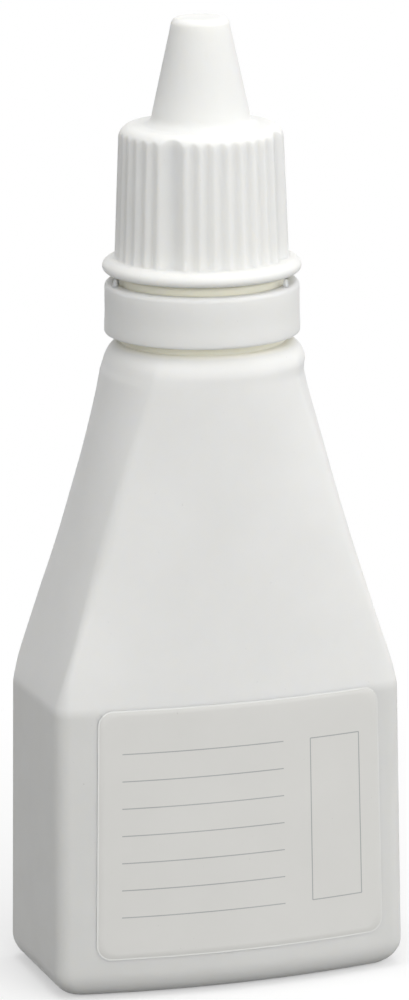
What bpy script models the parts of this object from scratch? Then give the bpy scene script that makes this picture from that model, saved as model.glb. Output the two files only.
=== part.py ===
"""Small white squeeze bottle for a scalp lotion, closed by a screw cap with a conical nose.

The bottle stands on its base with +Z up and its neck's axis on Z. Its wide bowed faces look along
-Y and +Y, and its narrow sides along -X and +X. All sizes are in metres.
"""

import math

import bmesh
import bpy
from mathutils import Vector

# Clearances shared by the pieces
SEAT_GAP = 0.0003
SCREW_CLEARANCE = 0.0003

# Bottle body
BODY_WIDTH = 0.0433
BODY_DEPTH = 0.0246
BASE_FLARE = 0.00045
FACE_BOW_RADIUS = 0.0940
BODY_CORNER = 0.0028
LEAST_CORNER = 0.0002
BODY_WALL = 0.0010
CREASE_HEIGHT = 0.0354
CREASE_SOFTENING = 0.0005
CORNER_GROWTH_POWER = 0.6
BASE_FILLET = 0.0034
BASE_CORNER_GROWTH = 0.0018
BASE_BAND_WIDTH = 0.0016
BASE_RECESS_SLOPE = 0.0012
BASE_RECESS_DEPTH = 0.0008

# Shoulder of the bottle
SHOULDER_HEIGHT = 0.0738
SHOULDER_WIDTH = 0.0217
SHOULDER_DEPTH = 0.0236
SHOULDER_CORNER = 0.0079
SHOULDER_RIM = 0.00005
SHOULDER_RIM_RISE = 0.0008
SHOULDER_ROLL_HEIGHT = 0.0027
SHOULDER_ROLL_TURN = math.radians(60)
SHOULDER_TOP_RADIUS = 0.0104

# Neck of the bottle
NECK_HEIGHT = 0.0232
NECK_RADIUS = 0.0077
NECK_WALL = 0.0013
LIP_ROUNDING = 0.0004
THREAD_HEIGHT = 0.0008
FOOT_HEIGHT = 0.0017
FOOT_SLOPE_HEIGHT = 0.0006
WAIST_STEP = 0.0012
WAIST_HEIGHT = 0.0042
BEAD_REACH = 0.0010
BEAD_TO_CAP_GAP = 0.0004
BEAD_SLOPE_HEIGHT = 0.0004
UPPER_WAIST_STEP = 0.0008
UPPER_WAIST_HEIGHT = 0.0010
NECK_CHAMFER = 0.0008

# Dropper insert in the neck
SLEEVE_LENGTH = 0.0062
SLEEVE_WALL = 0.0008
INSERT_FLANGE_HEIGHT = 0.0010
INSERT_EDGE = 0.0003
NOZZLE_HEIGHT = 0.0109
NOZZLE_TIP_RADIUS = 0.0019
NOZZLE_TIP_ROUNDING = 0.0004
NOZZLE_WALL = 0.0010
NOZZLE_HALF_ANGLE = math.radians(12.4)
ORIFICE_RADIUS = 0.00085
ORIFICE_LENGTH = 0.0020

# Tamper ring
RING_TO_SHOULDER_GAP = 0.00105
RING_HEIGHT = 0.00615
RING_WALL = 0.0014
RING_FLARE = 0.00008
RING_EDGE = 0.00035
RING_LIP_ROUNDING = 0.0007
RING_BEAD_CLEARANCE = 0.0003
RING_HOOK_HEIGHT = 0.0007
RING_HOOK_SLOPE = 0.0010
BRIDGE_WIDTH = 0.0009
BRIDGE_TIP_WIDTH = 0.0004
BRIDGE_THICKNESS = 0.0006
BRIDGE_ROOT = 0.0003
BRIDGE_HALF_SPREAD = math.radians(67.5)

# Screw cap
CAP_TO_RING_GAP = 0.0012
FLANGE_REACH = 0.00145
FLANGE_LOWER_HEIGHT = 0.00070
FLANGE_UPPER_HEIGHT = 0.00100
FLANGE_FLAT_WIDTH = 0.0008
SKIRT_WALL = 0.00102
SKIRT_DRAFT = math.radians(2.3)
SKIRT_ROUNDING = 0.0017
CAP_TOP_WALL = 0.0012
COUNTERBORE_DEPTH = 0.0019
COUNTERBORE_STEP = 0.0004
NOSE_CLEARANCE = 0.00105
NOSE_WALL = 0.00106
NOSE_HEADROOM = 0.0019
NOSE_TOP_WALL = 0.0014
NOSE_TIP_ROUNDING = 0.00095
NOSE_FILLET = 0.0013
PIN_REACH = 0.0008
PIN_ROOT_FLARE = 0.0003
FLUTE_DEPTH = 0.00024
SCALLOP_DEPTH = 0.00055

# How the closed cap happens to be turned, seen from above, from the +X side
SCALLOP_TURN = math.radians(-39)
RING_TURN = math.radians(-111)

# Label on the front face
LABEL_BOTTOM = 0.0050
LABEL_TOP_MARGIN = 0.0002
LABEL_WIDTH = 0.0363
LABEL_TOP_WIDTH = 0.0351
LABEL_SHIFT = 0.0007
LABEL_CORNER = 0.0018
LABEL_THICKNESS = 0.00015

# Counts
SIDE_STEPS = 3
CORNER_STEPS = 7
FACE_STEPS = 4
FILLET_STEPS = 4
ROLL_STEPS = 4
TAPER_STEPS = 6
FLUTE_PITCHES = 36
SCALLOPS = 4
SCALLOP_PITCHES = 2
COLUMNS_PER_PITCH = 4
CAP_COLUMNS = 72
INSIDE_COLUMNS = 36
RING_COLUMNS = 72
INSERT_COLUMNS = 40
BRIDGES = 4
LABEL_FACE_STEPS = 12
SHARP_ANGLE = math.radians(38)
FLUTE_FADE_ANGLE = math.radians(62)

# Heights of the pieces above the base, each from what carries it
rim_height = SHOULDER_HEIGHT + SHOULDER_RIM_RISE
neck_foot = rim_height + SHOULDER_ROLL_HEIGHT
lip_height = neck_foot + NECK_HEIGHT
insert_seat = lip_height + SEAT_GAP
insert_top = insert_seat + INSERT_FLANGE_HEIGHT
nozzle_tip = insert_top + NOZZLE_HEIGHT
ring_bottom = neck_foot + RING_TO_SHOULDER_GAP
ring_top = ring_bottom + RING_HEIGHT
cap_bottom = ring_top + CAP_TO_RING_GAP
cap_ceiling = insert_top + SEAT_GAP
cap_shoulder = cap_ceiling + CAP_TOP_WALL
nose_ceiling = nozzle_tip + NOSE_HEADROOM
nose_top = nose_ceiling + NOSE_TOP_WALL

# Radii about the neck's axis, each from the piece that it has to clear
bore_radius = NECK_RADIUS - NECK_WALL
waist_radius = NECK_RADIUS + WAIST_STEP
upper_waist_radius = NECK_RADIUS + UPPER_WAIST_STEP
bead_radius = waist_radius + BEAD_REACH
ring_inner_radius = bead_radius + RING_BEAD_CLEARANCE
ring_radius = ring_inner_radius + RING_WALL
foot_radius = ring_inner_radius - SEAT_GAP
cap_inner_radius = NECK_RADIUS + THREAD_HEIGHT + SCREW_CLEARANCE
skirt_top = cap_shoulder - SKIRT_ROUNDING
flange_middle = cap_bottom + FLANGE_LOWER_HEIGHT
flange_top = flange_middle + FLANGE_UPPER_HEIGHT


def blend(first, last, share):
    return first + (last - first) * share


def arc_angles(first, last, steps):
    return [blend(first, last, step / steps) for step in range(steps + 1)]


# Mesh helpers


def add_loop(mesh, points):
    return [mesh.verts.new(point) for point in points]


def bridge(mesh, first, second):
    """Joins two closed loops of equal count, or one of half the other's count."""
    if len(first) < len(second):
        first, second = second, first
    count = len(second)
    finer = len(first) // count
    for index in range(count):
        following = (index + 1) % count
        fine = [first[(index * finer + step) % len(first)] for step in range(finer + 1)]
        mesh.faces.new(fine + [second[following], second[index]])


def skin(mesh, loops):
    """Joins each loop of points to the next, and returns the first and last loop of vertices."""
    rows = [add_loop(mesh, loop) for loop in loops]
    for first, second in zip(rows, rows[1:]):
        bridge(mesh, first, second)
    return rows[0], rows[-1]


def close_with_face(mesh, row):
    mesh.faces.new(row)


def circle(radius, height, columns, turn=0.0):
    points = []
    for column in range(columns):
        angle = turn + math.tau * column / columns
        points.append(Vector((radius * math.cos(angle), radius * math.sin(angle), height)))
    return points


def turned(profile, columns, turn=0.0):
    return [circle(radius, height, columns, turn) for radius, height in profile]


def corner_arc(centre_radius, centre_height, radius, first, last, steps):
    """Profile points on an arc, with angles from the outward radial direction towards +Z."""
    arc = []
    for angle in arc_angles(first, last, steps):
        arc.append((centre_radius + radius * math.cos(angle), centre_height + radius * math.sin(angle)))
    return arc


def plastic(name, colour, roughness):
    material = bpy.data.materials.new(name)
    material.use_nodes = True
    shader = material.node_tree.nodes["Principled BSDF"]
    shader.inputs["Base Color"].default_value = (*colour, 1)
    shader.inputs["Roughness"].default_value = roughness
    shader.inputs["Metallic"].default_value = 0
    material.diffuse_color = (*colour, 1)
    return material


def finish(name, mesh, origin_height, material, parent=None):
    """Makes an object with its origin on the neck's axis at the given height."""
    bmesh.ops.recalc_face_normals(mesh, faces=mesh.faces)
    bmesh.ops.translate(mesh, verts=mesh.verts, vec=(0, 0, -origin_height))
    data = bpy.data.meshes.new(name)
    mesh.to_mesh(data)
    mesh.free()
    data.shade_smooth()
    data.set_sharp_from_angle(angle=SHARP_ANGLE)
    data.materials.append(material)
    piece = bpy.data.objects.new(name, data)
    bpy.context.scene.collection.objects.link(piece)
    piece.location.z = origin_height
    if parent:
        piece.parent = parent
        piece.location.z = origin_height - parent.location.z
    normals = piece.modifiers.new("Weighted Normal", "WEIGHTED_NORMAL")
    normals.keep_sharp = True
    return piece


# Bottle body


def section_quarter(half_width, half_depth, corner):
    """Outline from the middle of the +X side to the middle of the +Y face, ends included."""
    bow_centre = half_depth - FACE_BOW_RADIUS
    corner_x = half_width - corner
    corner_y = bow_centre + math.sqrt((FACE_BOW_RADIUS - corner) ** 2 - corner_x**2)
    meeting = math.atan2(corner_y - bow_centre, corner_x)
    points = [(half_width, corner_y * step / SIDE_STEPS) for step in range(SIDE_STEPS)]
    for angle in arc_angles(0, meeting, CORNER_STEPS):
        points.append((corner_x + corner * math.cos(angle), corner_y + corner * math.sin(angle)))
    for angle in arc_angles(meeting, math.pi / 2, FACE_STEPS)[1:]:
        points.append(
            (FACE_BOW_RADIUS * math.cos(angle), bow_centre + FACE_BOW_RADIUS * math.sin(angle))
        )
    return points


def flare_at(height):
    """How far the walls below the crease stand out from upright ones."""
    return BASE_FLARE * max(1 - height / CREASE_HEIGHT, 0)


def climb_at(height):
    """Share of the way up the taper, from 0 at the crease to 1 at the shoulder."""
    climb = (height - CREASE_HEIGHT) / (SHOULDER_HEIGHT - CREASE_HEIGHT)
    return min(max(climb, 0), 1)


def half_depth_at(height):
    return blend(BODY_DEPTH, SHOULDER_DEPTH, climb_at(height)) / 2 + flare_at(height)


def section(height, inset, level=None):
    """Closed outline of the body at a height, moved in by an inset and drawn at a level."""
    climb = climb_at(height)
    corner = blend(BODY_CORNER, SHOULDER_CORNER, climb**CORNER_GROWTH_POWER)
    corner += BASE_CORNER_GROWTH * max(1 - height / BASE_FILLET, 0) ** 2
    quarter = section_quarter(
        blend(BODY_WIDTH, SHOULDER_WIDTH, climb) / 2 + flare_at(height) - inset,
        half_depth_at(height) - inset,
        max(corner - inset, LEAST_CORNER),
    )
    half = quarter + [(-x, y) for x, y in reversed(quarter[:-1])]
    outline = half + [(x, -y) for x, y in reversed(half[1:-1])]
    level = height if level is None else level
    return [Vector((x, y, level)) for x, y in outline]


def round_to_circle(outline, radius, first_height, rise, turn):
    """Loops that roll from a body outline up to a circle, each column staying at its own angle."""
    loops = []
    for angle in arc_angles(0, turn, ROLL_STEPS)[1:]:
        reach = (math.cos(angle) - math.cos(turn)) / (1 - math.cos(turn))
        loop = []
        for point in outline:
            flat = Vector((point.x, point.y, 0))
            ring_point = flat.normalized() * radius
            place = ring_point + (flat - ring_point) * reach
            place.z = first_height + rise * math.sin(angle) / math.sin(turn)
            loop.append(place)
        loops.append(loop)
    return loops


def neck_circles(outline, profile):
    """Circles whose columns stand at the angles of an outline's points."""
    loops = []
    for radius, height in profile:
        loop = []
        for point in outline:
            place = Vector((point.x, point.y, 0)).normalized() * radius
            place.z = height
            loop.append(place)
        loops.append(loop)
    return loops


def neck_profile():
    """Outside of the neck from its foot up, over the lip and down the bore."""
    bead_foot = neck_foot + WAIST_HEIGHT
    bead_top = cap_bottom - BEAD_TO_CAP_GAP
    slope_top = bead_top + BEAD_SLOPE_HEIGHT
    upper_waist_top = slope_top + UPPER_WAIST_HEIGHT
    lip_centre = lip_height - LIP_ROUNDING
    quarter = math.pi / 2
    profile = [
        (foot_radius, neck_foot),
        (foot_radius, neck_foot + FOOT_HEIGHT),
        (waist_radius, neck_foot + FOOT_HEIGHT + FOOT_SLOPE_HEIGHT),
        (waist_radius, bead_foot),
        (bead_radius, bead_foot),
        (bead_radius, bead_top),
        (upper_waist_radius, slope_top),
        (upper_waist_radius, upper_waist_top),
        (NECK_RADIUS, upper_waist_top + NECK_CHAMFER),
    ]
    profile += corner_arc(NECK_RADIUS - LIP_ROUNDING, lip_centre, LIP_ROUNDING, 0, quarter, 3)
    profile += corner_arc(bore_radius + LIP_ROUNDING, lip_centre, LIP_ROUNDING, quarter, math.pi, 3)
    return profile


def base_loops():
    """Underside from the middle of its recess out to the upright walls."""
    band_inset = BASE_FILLET + BASE_BAND_WIDTH
    recess_inset = band_inset + BASE_RECESS_SLOPE
    loops = [
        section(0, recess_inset, BASE_RECESS_DEPTH),
        section(0, band_inset, 0),
    ]
    for angle in arc_angles(0, math.pi / 2, FILLET_STEPS):
        inset = BASE_FILLET * (1 - math.sin(angle))
        height = BASE_FILLET * (1 - math.cos(angle))
        loops.append(section(height, inset))
    return loops


def wall_loops(inset, top):
    """Walls from below the crease to a height on the taper."""
    loops = [section(CREASE_HEIGHT - CREASE_SOFTENING, inset)]
    start = CREASE_HEIGHT + CREASE_SOFTENING
    for step in range(TAPER_STEPS + 1):
        loops.append(section(blend(start, top, step / TAPER_STEPS), inset))
    return loops


def inside_floor_loops():
    """Inside corner between the walls and the floor, from the walls down."""
    floor = BASE_RECESS_DEPTH + BODY_WALL
    radius = BASE_FILLET - BODY_WALL
    loops = []
    for angle in arc_angles(math.pi / 2, 0, FILLET_STEPS):
        inset = BODY_WALL + radius * (1 - math.sin(angle))
        height = floor + radius * (1 - math.cos(angle))
        loops.append(section(height, inset))
    return loops


def make_bottle_body(material):
    mesh = bmesh.new()
    outside = base_loops() + wall_loops(0, SHOULDER_HEIGHT)
    rim = section(SHOULDER_HEIGHT, -SHOULDER_RIM, rim_height)
    outside.append(rim)
    outside += round_to_circle(
        rim, SHOULDER_TOP_RADIUS, rim_height, SHOULDER_ROLL_HEIGHT, SHOULDER_ROLL_TURN
    )
    outside += neck_circles(rim, neck_profile())

    inside_top = SHOULDER_HEIGHT - BODY_WALL
    inside_walls = wall_loops(BODY_WALL, inside_top)
    bore_rise = neck_foot - BODY_WALL - inside_top
    roll = round_to_circle(inside_walls[-1], bore_radius, inside_top, bore_rise, math.pi / 2)
    inside = roll[::-1] + inside_walls[::-1] + inside_floor_loops()

    first, last = skin(mesh, outside + inside)
    close_with_face(mesh, first)
    close_with_face(mesh, last)
    return finish("bottle_body", mesh, 0, material)


# Dropper insert


def nozzle_radius_at(height):
    return NOZZLE_TIP_RADIUS + (nozzle_tip - height) * math.tan(NOZZLE_HALF_ANGLE)


def make_dropper_insert(material, body):
    sleeve_radius = bore_radius - SEAT_GAP
    sleeve_bottom = insert_seat - SLEEVE_LENGTH
    flange_radius = NECK_RADIUS - LIP_ROUNDING
    tip_shoulder = nozzle_tip - NOZZLE_TIP_ROUNDING
    orifice_foot = nozzle_tip - ORIFICE_LENGTH
    rounding_centre = nozzle_radius_at(tip_shoulder) - NOZZLE_TIP_ROUNDING
    sleeve_inside = sleeve_radius - SLEEVE_WALL
    profile = [
        (sleeve_radius - INSERT_EDGE, sleeve_bottom),
        (sleeve_radius, sleeve_bottom + INSERT_EDGE),
        (sleeve_radius, insert_seat),
        (flange_radius, insert_seat),
        (flange_radius, insert_top - INSERT_EDGE),
        (flange_radius - INSERT_EDGE, insert_top),
        (nozzle_radius_at(insert_top) + INSERT_EDGE, insert_top),
        (nozzle_radius_at(insert_top + INSERT_EDGE), insert_top + INSERT_EDGE),
    ]
    profile += corner_arc(rounding_centre, tip_shoulder, NOZZLE_TIP_ROUNDING, 0, math.pi / 2, 3)
    profile += [
        (ORIFICE_RADIUS, nozzle_tip),
        (ORIFICE_RADIUS, orifice_foot),
        (nozzle_radius_at(orifice_foot) - NOZZLE_WALL, orifice_foot - NOZZLE_WALL),
        (nozzle_radius_at(insert_seat) - NOZZLE_WALL, insert_seat),
        (sleeve_inside, insert_seat),
        (sleeve_inside, sleeve_bottom),
    ]
    mesh = bmesh.new()
    first, last = skin(mesh, turned(profile, INSERT_COLUMNS))
    bridge(mesh, last, first)
    return finish("dropper_insert", mesh, insert_seat, material, body)


# Tamper ring


def ring_profile():
    """Cross-section of the ring, up its outside and down its inside past the hook."""
    bead_underside = neck_foot + WAIST_HEIGHT
    hook_top = bead_underside - SEAT_GAP
    hook_bottom = hook_top - RING_HOOK_HEIGHT
    hook_radius = waist_radius + SEAT_GAP
    flared_radius = ring_radius + RING_FLARE
    lip_radius = ring_radius - RING_LIP_ROUNDING
    lip_centre = ring_top - RING_LIP_ROUNDING
    profile = [
        (flared_radius - RING_EDGE, ring_bottom),
        (flared_radius, ring_bottom + RING_EDGE),
    ]
    profile += corner_arc(lip_radius, lip_centre, RING_LIP_ROUNDING, 0, math.pi / 2, FILLET_STEPS)
    return profile + [
        (ring_inner_radius, ring_top),
        (ring_inner_radius, hook_top),
        (hook_radius, hook_top),
        (hook_radius, hook_bottom),
        (ring_inner_radius, hook_bottom - RING_HOOK_SLOPE),
        (ring_inner_radius, ring_bottom),
    ]


def bridge_stub(turn):
    """What is left of one bridge: a small wedge that narrows towards the cap's flange."""
    top = cap_bottom - SEAT_GAP
    bottom = ring_top - BRIDGE_ROOT
    inner = blend(ring_inner_radius, ring_radius, 0.5) - BRIDGE_THICKNESS / 2
    outer = inner + BRIDGE_THICKNESS
    outline = [
        (-BRIDGE_WIDTH / 2, bottom),
        (BRIDGE_WIDTH / 2, bottom),
        (BRIDGE_TIP_WIDTH / 2, top),
        (-BRIDGE_TIP_WIDTH / 2, top),
    ]
    stub = bmesh.new()
    radial = Vector((math.cos(turn), math.sin(turn), 0))
    across = Vector((-math.sin(turn), math.cos(turn), 0))
    rows = []
    for radius in (inner, outer):
        points = [radial * radius + across * side + Vector((0, 0, height)) for side, height in outline]
        rows.append(add_loop(stub, points))
    bridge(stub, rows[0], rows[1])
    close_with_face(stub, rows[0])
    close_with_face(stub, rows[1])
    bmesh.ops.recalc_face_normals(stub, faces=stub.faces)
    data = bpy.data.meshes.new("bridge_stub")
    stub.to_mesh(data)
    stub.free()
    return bpy.data.objects.new("bridge_stub", data)


def add_bridges(ring):
    """Fuses the stubs onto the ring's top, in two pairs set to the left and right of its front."""
    for index in range(BRIDGES):
        side = 1 if index % 2 else -1
        half_turn = math.pi * (index // 2)
        stub = bridge_stub(RING_TURN + half_turn + side * BRIDGE_HALF_SPREAD)
        bpy.context.scene.collection.objects.link(stub)
        stub.hide_render = True
        stub.display_type = "WIRE"
        joined = ring.modifiers.new("Bridge", "BOOLEAN")
        joined.operation = "UNION"
        joined.object = stub
        joined.solver = "EXACT"


def make_tamper_ring(material, body):
    mesh = bmesh.new()
    first, last = skin(mesh, turned(ring_profile(), RING_COLUMNS))
    bridge(mesh, last, first)
    ring = finish("tamper_evident_ring", mesh, ring_bottom, material, body)
    add_bridges(ring)
    return ring


# Screw cap


def nose_radius_at(height):
    return nozzle_radius_at(height) + NOSE_CLEARANCE + NOSE_WALL


def skirt_radius_at(height):
    return cap_inner_radius + SKIRT_WALL + (skirt_top - height) * math.tan(SKIRT_DRAFT)


def flute_depths():
    """Depth of the fluting at each column: fine flutes with four wider finger scallops."""
    pitches_per_scallop = FLUTE_PITCHES // SCALLOPS
    depths = []
    for _ in range(SCALLOPS):
        wide = SCALLOP_PITCHES * COLUMNS_PER_PITCH
        for column in range(wide):
            depths.append(SCALLOP_DEPTH * flute_share(column / wide))
        for column in range((pitches_per_scallop - SCALLOP_PITCHES) * COLUMNS_PER_PITCH):
            within = column % COLUMNS_PER_PITCH
            depths.append(FLUTE_DEPTH * flute_share(within / COLUMNS_PER_PITCH))
    return depths


def flute_share(place):
    """Share of a flute's depth at a place from 0 at one ridge to 1 at the next."""
    return 1 - (2 * place - 1) ** 2


def fluted_loop(depths, radius_and_height):
    """A loop whose column radius and height depend on the depth of the flute there."""
    start = SCALLOP_TURN - math.tau * SCALLOP_PITCHES / FLUTE_PITCHES / 2
    points = []
    for column, depth in enumerate(depths):
        angle = start + math.tau * column / len(depths)
        radius, height = radius_and_height(depth)
        points.append(Vector((radius * math.cos(angle), radius * math.sin(angle), height)))
    return points


def flute_end_angle(depth):
    """Where on the skirt's rounded top edge a flute of this depth runs out."""
    return math.acos(1 - depth / SKIRT_ROUNDING)


def rounded_edge_point(angle):
    centre = skirt_radius_at(skirt_top) - SKIRT_ROUNDING
    return centre + SKIRT_ROUNDING * math.cos(angle), skirt_top + SKIRT_ROUNDING * math.sin(angle)


def fluted_loops():
    """The fluted band, from the rounded top edge down to the flange."""
    depths = flute_depths()
    loops = []
    for share in (0, 1 / 3, 2 / 3, 1):
        loops.append(
            fluted_loop(
                depths,
                lambda depth, share=share: rounded_edge_point(
                    blend(FLUTE_FADE_ANGLE, flute_end_angle(depth), share)
                ),
            )
        )
    loops.append(fluted_loop(depths, lambda depth: (skirt_radius_at(flange_top) - depth, flange_top)))
    return loops


def cap_top_loops(turn):
    """From the tip of the nose down to the rounded edge above the fluting."""
    tip_shoulder = nose_top - NOSE_TIP_ROUNDING
    tip_centre = nose_radius_at(tip_shoulder) - NOSE_TIP_ROUNDING
    quarter = math.pi / 2
    profile = corner_arc(tip_centre, tip_shoulder, NOSE_TIP_ROUNDING, quarter, 0, FILLET_STEPS)
    fillet_height = cap_shoulder + NOSE_FILLET
    fillet_centre = nose_radius_at(fillet_height) + NOSE_FILLET
    profile += corner_arc(fillet_centre, fillet_height, NOSE_FILLET, math.pi, quarter * 3, FILLET_STEPS)
    for angle in (quarter, blend(quarter, FLUTE_FADE_ANGLE, 0.5)):
        profile.append(rounded_edge_point(angle))
    return turned(profile, CAP_COLUMNS, turn)


def flange_loops(turn):
    """The rounded bead at the cap's foot, from above the skirt's foot to the flat underside."""
    root = skirt_radius_at(flange_top)
    profile = []
    for angle in arc_angles(math.pi / 2, 0, FILLET_STEPS):
        height = flange_middle + FLANGE_UPPER_HEIGHT * math.sin(angle)
        profile.append((root + FLANGE_REACH * math.cos(angle), height))
    flat_radius = root + FLANGE_FLAT_WIDTH
    for angle in arc_angles(0, math.pi / 2, FILLET_STEPS)[1:]:
        radius = flat_radius + (FLANGE_REACH - FLANGE_FLAT_WIDTH) * math.cos(angle)
        profile.append((radius, flange_middle - FLANGE_LOWER_HEIGHT * math.sin(angle)))
    return turned(profile, CAP_COLUMNS, turn)


def cap_inside_loops(turn):
    """From the counterbore up to the ceiling, into the nose and down the sealing pin."""
    pin_radius = ORIFICE_RADIUS - SCREW_CLEARANCE
    pin_tip = nozzle_tip - PIN_REACH
    counterbore = cap_inner_radius + COUNTERBORE_STEP
    counterbore_top = cap_bottom + COUNTERBORE_DEPTH
    profile = [
        (counterbore, cap_bottom),
        (counterbore, counterbore_top),
        (cap_inner_radius, counterbore_top + COUNTERBORE_STEP),
        (cap_inner_radius, cap_ceiling),
        (nose_radius_at(cap_ceiling) - NOSE_WALL, cap_ceiling),
        (nose_radius_at(nozzle_tip) - NOSE_WALL, nozzle_tip),
        (nose_radius_at(nose_ceiling) - NOSE_WALL - NOSE_TIP_ROUNDING, nose_ceiling),
        (pin_radius + PIN_ROOT_FLARE, nose_ceiling),
        (pin_radius, nose_ceiling - PIN_ROOT_FLARE),
        (pin_radius, pin_tip),
    ]
    return turned(profile, INSIDE_COLUMNS, turn)


def make_screw_cap(material, ring):
    turn = SCALLOP_TURN - math.tau * SCALLOP_PITCHES / FLUTE_PITCHES / 2
    mesh = bmesh.new()
    loops = cap_top_loops(turn) + fluted_loops() + flange_loops(turn) + cap_inside_loops(turn)
    first, last = skin(mesh, loops)
    close_with_face(mesh, first)
    close_with_face(mesh, last)
    return finish("screw_cap", mesh, cap_bottom, material, ring)


# Label


def label_columns():
    """Places across the label at its foot, with the drop of its rounded corners there."""
    straight = LABEL_WIDTH / 2 - LABEL_CORNER
    columns = []
    for angle in arc_angles(0, math.pi / 2, FILLET_STEPS):
        columns.append((straight + LABEL_CORNER * math.cos(angle), LABEL_CORNER * (1 - math.sin(angle))))
    for step in range(1, LABEL_FACE_STEPS):
        columns.append((blend(straight, -straight, step / LABEL_FACE_STEPS), 0))
    for angle in arc_angles(math.pi / 2, 0, FILLET_STEPS):
        columns.append((-straight - LABEL_CORNER * math.cos(angle), LABEL_CORNER * (1 - math.sin(angle))))
    return columns


def face_place(across, height, stand_off):
    """A point off the bowed front face, square to it."""
    angle = math.asin(across / FACE_BOW_RADIUS)
    radius = FACE_BOW_RADIUS + stand_off
    centre_y = FACE_BOW_RADIUS - half_depth_at(height)
    return Vector((radius * math.sin(angle), centre_y - radius * math.cos(angle), height))


def make_label(material, body):
    bottom = LABEL_BOTTOM
    top = CREASE_HEIGHT + LABEL_TOP_MARGIN
    mesh = bmesh.new()
    sheets = []
    for stand_off in (SEAT_GAP, SEAT_GAP + LABEL_THICKNESS):
        low = []
        high = []
        for across, drop in label_columns():
            foot = LABEL_SHIFT + across
            head = LABEL_SHIFT + across * LABEL_TOP_WIDTH / LABEL_WIDTH
            low.append(mesh.verts.new(face_place(foot, bottom + drop, stand_off)))
            high.append(mesh.verts.new(face_place(head, top - drop, stand_off)))
        for index in range(len(low) - 1):
            mesh.faces.new((low[index], low[index + 1], high[index + 1], high[index]))
        sheets.append(low + high[::-1])
    bridge(mesh, sheets[0], sheets[1])
    return finish("label", mesh, 0, material, body)


def main():
    for old in list(bpy.data.objects):
        bpy.data.objects.remove(old)
    body = make_bottle_body(plastic("bottle_white", (0.80, 0.80, 0.78), 0.42))
    make_dropper_insert(plastic("insert_natural", (0.78, 0.77, 0.72), 0.38), body)
    ring = make_tamper_ring(plastic("ring_white", (0.79, 0.79, 0.76), 0.40), body)
    make_screw_cap(plastic("cap_white", (0.79, 0.79, 0.76), 0.40), ring)
    make_label(plastic("label_film", (0.66, 0.66, 0.63), 0.50), body)


main()
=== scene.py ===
"""Dressed scene of a small lotion bottle: fine meshes, plastics, label film, light and camera.

All sizes are in metres, in the CAD's frame: the bottle stands on Z = 0, its neck's axis is Z, and
its label faces -Y.
"""

import math

import bmesh
import bpy
from mathutils import Matrix, Vector


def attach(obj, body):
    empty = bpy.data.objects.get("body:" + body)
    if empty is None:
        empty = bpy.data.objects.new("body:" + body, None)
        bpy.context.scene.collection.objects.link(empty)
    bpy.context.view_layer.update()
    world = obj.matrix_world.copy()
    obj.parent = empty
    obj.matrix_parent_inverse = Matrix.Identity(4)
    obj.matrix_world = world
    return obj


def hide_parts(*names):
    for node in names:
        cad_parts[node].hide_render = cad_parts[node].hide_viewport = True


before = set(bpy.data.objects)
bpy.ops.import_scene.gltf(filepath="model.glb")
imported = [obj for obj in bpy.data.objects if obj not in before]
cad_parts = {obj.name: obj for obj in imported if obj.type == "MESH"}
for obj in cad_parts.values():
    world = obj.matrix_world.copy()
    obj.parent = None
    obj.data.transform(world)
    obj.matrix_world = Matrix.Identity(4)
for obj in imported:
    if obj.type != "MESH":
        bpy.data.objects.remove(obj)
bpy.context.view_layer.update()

MM = 0.001
QUARTER = math.pi / 2

# The CAD's sizes, repeated or worked out from the part's source. Only BODY_CORNER is less than there.
BODY_WIDTH = 43.3 * MM
BODY_DEPTH = 24.6 * MM
BASE_FLARE = 0.45 * MM
BOW_RADIUS = 94.0 * MM
BODY_CORNER = 2.3 * MM
LEAST_CORNER = 0.2 * MM
BODY_WALL = 1.0 * MM
CREASE_HEIGHT = 35.4 * MM
BASE_FILLET = 3.4 * MM
BASE_CORNER_GROWTH = 1.8 * MM
BASE_BAND_WIDTH = 1.6 * MM
BASE_RECESS_SLOPE = 1.2 * MM
BASE_RECESS_DEPTH = 0.8 * MM
SHOULDER_HEIGHT = 73.8 * MM
SHOULDER_WIDTH = 21.7 * MM
SHOULDER_DEPTH = 23.6 * MM
SHOULDER_CORNER = 7.9 * MM
SHOULDER_RIM = 0.05 * MM
RIM_HEIGHT = 74.6 * MM
ROLL_HEIGHT = 2.7 * MM
ROLL_TURN = math.radians(60)
SHOULDER_TOP_RADIUS = 10.4 * MM
NECK_FOOT = RIM_HEIGHT + ROLL_HEIGHT
LIP_HEIGHT = 100.5 * MM
NECK_RADIUS = 7.7 * MM
BORE_RADIUS = 6.4 * MM
FOOT_RADIUS = 9.9 * MM
WAIST_RADIUS = 8.9 * MM
UPPER_WAIST_RADIUS = 8.5 * MM
BEAD_RADIUS = 9.9 * MM
RING_BOTTOM = 78.35 * MM
RING_TOP = 84.5 * MM
RING_INNER = 10.2 * MM
RING_RADIUS = 11.6 * MM
CAP_BOTTOM = 85.7 * MM
CAP_INNER = 8.8 * MM
FLANGE_MIDDLE = 86.4 * MM
FLANGE_TOP = 87.4 * MM
FLANGE_REACH = 1.45 * MM
FLANGE_FLAT = 0.8 * MM
SKIRT_TOP = 101.6 * MM
SKIRT_RADIUS = 9.82 * MM
SKIRT_DRAFT = math.radians(2.3)
SKIRT_ROUNDING = 1.7 * MM
CAP_CEILING = 102.1 * MM
CAP_SHOULDER = 103.3 * MM
NOZZLE_TIP = 112.7 * MM
NOZZLE_TIP_RADIUS = 1.9 * MM
NOZZLE_SLOPE = math.tan(math.radians(12.4))
NOSE_CLEARANCE = 1.05 * MM
NOSE_WALL = 1.06 * MM
NOSE_CEILING = 114.6 * MM
NOSE_TOP = 116.0 * MM
NOSE_TIP_ROUNDING = 0.95 * MM
NOSE_FILLET = 1.3 * MM
FLUTE_DEPTH = 0.24 * MM
SCALLOP_DEPTH = 0.55 * MM
SCALLOP_TURN = math.radians(-39)
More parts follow.
